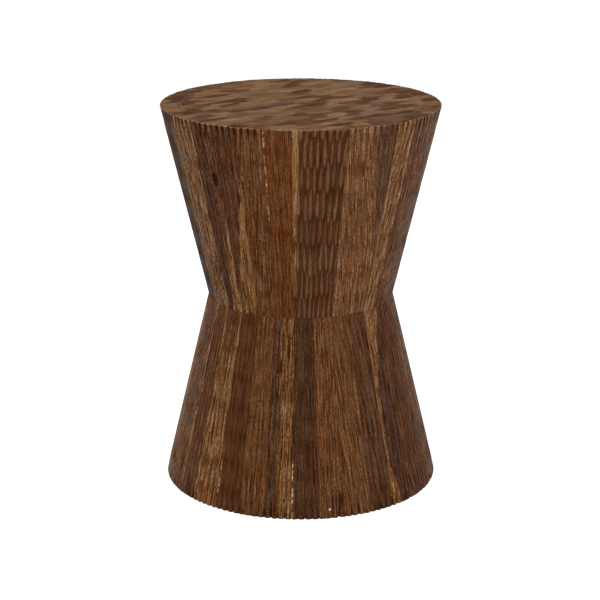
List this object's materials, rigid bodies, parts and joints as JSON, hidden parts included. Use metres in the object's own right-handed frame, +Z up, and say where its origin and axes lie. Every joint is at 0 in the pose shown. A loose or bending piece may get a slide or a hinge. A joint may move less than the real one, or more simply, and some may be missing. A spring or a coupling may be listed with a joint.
{
  "type": "hourglass stool",
  "caption": "Hourglass stool of mixed dark hardwood staves, coopered as cones that meet at a narrow waist, with gouge-fluted sides and an inset carved seat.",
  "frame": {"origin": "on the floor, at the centre of the round base", "axes": "+Z up along the stool's axis, -Y towards the side that the picture shows"},
  "size_m": [0.33, 0.33, 0.457],
  "materials": {
    "dark_heartwood": "satin lacquer over gouge-carved dark heartwood",
    "brown_heartwood": "satin lacquer over gouge-carved brown heartwood",
    "red_heartwood": "satin lacquer over gouge-carved reddish heartwood",
    "golden_sapwood": "satin lacquer over gouge-carved golden sapwood",
    "seat_wood": "satin lacquer over shallow scooped boards",
    "plywood": "raw sanded plywood",
    "screw_steel": "zinc plated"
  },
  "bodies": {
    "root": {"upper_stave_01": "dark_heartwood", "upper_stave_02": "brown_heartwood", "upper_stave_03": "golden_sapwood", "upper_stave_04": "dark_heartwood", "upper_stave_05": "brown_heartwood", "upper_stave_06": "red_heartwood", "upper_stave_07": "dark_heartwood", "upper_stave_08": "brown_heartwood", "upper_stave_09": "golden_sapwood", "upper_stave_10": "dark_heartwood", "upper_stave_11": "brown_heartwood", "upper_stave_12": "red_heartwood", "upper_stave_13": "brown_heartwood", "upper_stave_14": "dark_heartwood", "upper_stave_15": "golden_sapwood", "upper_stave_16": "brown_heartwood", "upper_stave_17": "dark_heartwood", "upper_stave_18": "red_heartwood", "upper_stave_19": "dark_heartwood", "upper_stave_20": "golden_sapwood", "upper_stave_21": "dark_heartwood", "upper_stave_22": "dark_heartwood", "upper_stave_23": "brown_heartwood", "upper_stave_24": "red_heartwood", "lower_stave_01": "dark_heartwood", "lower_stave_02": "brown_heartwood", "lower_stave_03": "brown_heartwood", "lower_stave_04": "dark_heartwood", "lower_stave_05": "golden_sapwood", "lower_stave_06": "red_heartwood", "lower_stave_07": "brown_heartwood", "lower_stave_08": "dark_heartwood", "lower_stave_09": "brown_heartwood", "lower_stave_10": "red_heartwood", "lower_stave_11": "brown_heartwood", "lower_stave_12": "golden_sapwood", "lower_stave_13": "dark_heartwood", "lower_stave_14": "brown_heartwood", "lower_stave_15": "red_heartwood", "lower_stave_16": "brown_heartwood", "lower_stave_17": "dark_heartwood", "lower_stave_18": "golden_sapwood", "lower_stave_19": "brown_heartwood", "lower_stave_20": "dark_heartwood", "lower_stave_21": "golden_sapwood", "lower_stave_22": "red_heartwood", "lower_stave_23": "brown_heartwood", "lower_stave_24": "golden_sapwood", "seat_board_1": "seat_wood", "seat_board_2": "seat_wood", "seat_board_3": "seat_wood", "seat_board_4": "seat_wood", "seat_board_5": "seat_wood", "upper_waist_disc": "plywood", "lower_waist_disc": "plywood", "waist_screw_1": "screw_steel", "waist_screw_2": "screw_steel", "waist_screw_3": "screw_steel", "base_ring": "plywood"}
  },
  "joints": []
}
